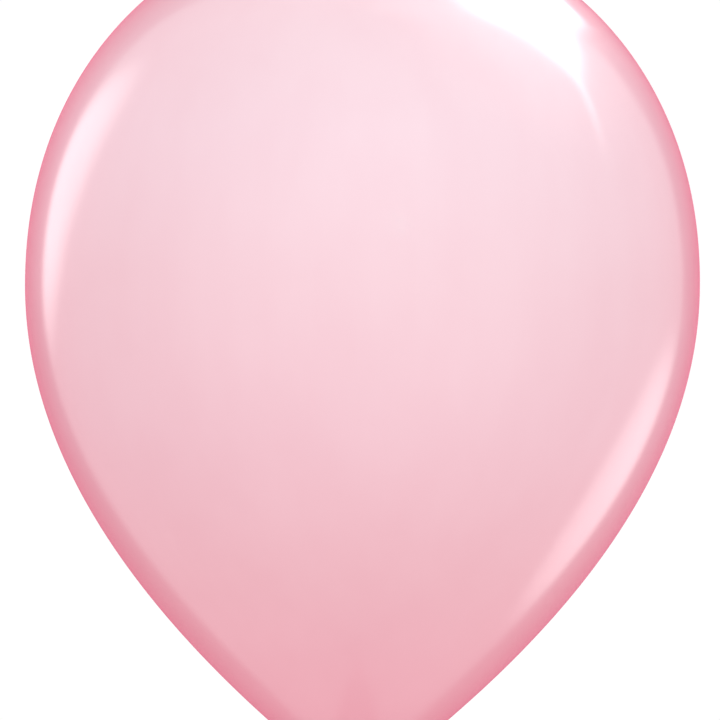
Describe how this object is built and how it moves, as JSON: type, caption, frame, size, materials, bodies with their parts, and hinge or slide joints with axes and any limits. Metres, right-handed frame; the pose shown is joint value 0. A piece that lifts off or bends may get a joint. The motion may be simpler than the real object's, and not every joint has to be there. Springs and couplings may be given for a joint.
{
  "type": "latex balloon",
  "caption": "Inflated round latex balloon that tapers to a gathered neck tied in an overhand knot, with a flared tail and a rolled lip below.",
  "frame": {"origin": "on the balloon's axis at the waist just above the knot, where a ribbon or a stick's cup holds it", "axes": "+Z along the balloon's axis from the knot to the crown, X along the wide side of the flattened tail, Y through its thin side"},
  "size_m": [0.28, 0.28, 0.4347],
  "materials": {
    "film": "gloss",
    "gathered_latex": "gloss",
    "unstretched_latex": "satin",
    "lip_latex": "satin"
  },
  "bodies": {
    "knot": {"knot": "gathered_latex"},
    "neck": {"neck": "gathered_latex"},
    "bulb": {"bulb": "film"},
    "tail": {"tail": "unstretched_latex", "rolled_lip": "lip_latex"}
  },
  "joints": [
    {"name": "neck_nod", "type": "hinge", "parent": "knot", "child": "neck", "pos_m": [0, 0, 0.0025], "axis": [1, 0, 0], "range_deg": [-60, 60], "stiffness_Nm_per_rad": 0.035},
    {"name": "neck_sway", "type": "hinge", "parent": "neck", "child": "bulb", "pos_m": [0, 0, 0.0105], "axis": [0, 1, 0], "range_deg": [-60, 60], "stiffness_Nm_per_rad": 0.035},
    {"name": "tail_flop", "type": "hinge", "parent": "knot", "child": "tail", "pos_m": [0, 0, -0.01657], "axis": [1, 0, 0], "range_deg": [-60, 60], "stiffness_Nm_per_rad": 0.0015}
  ]
}
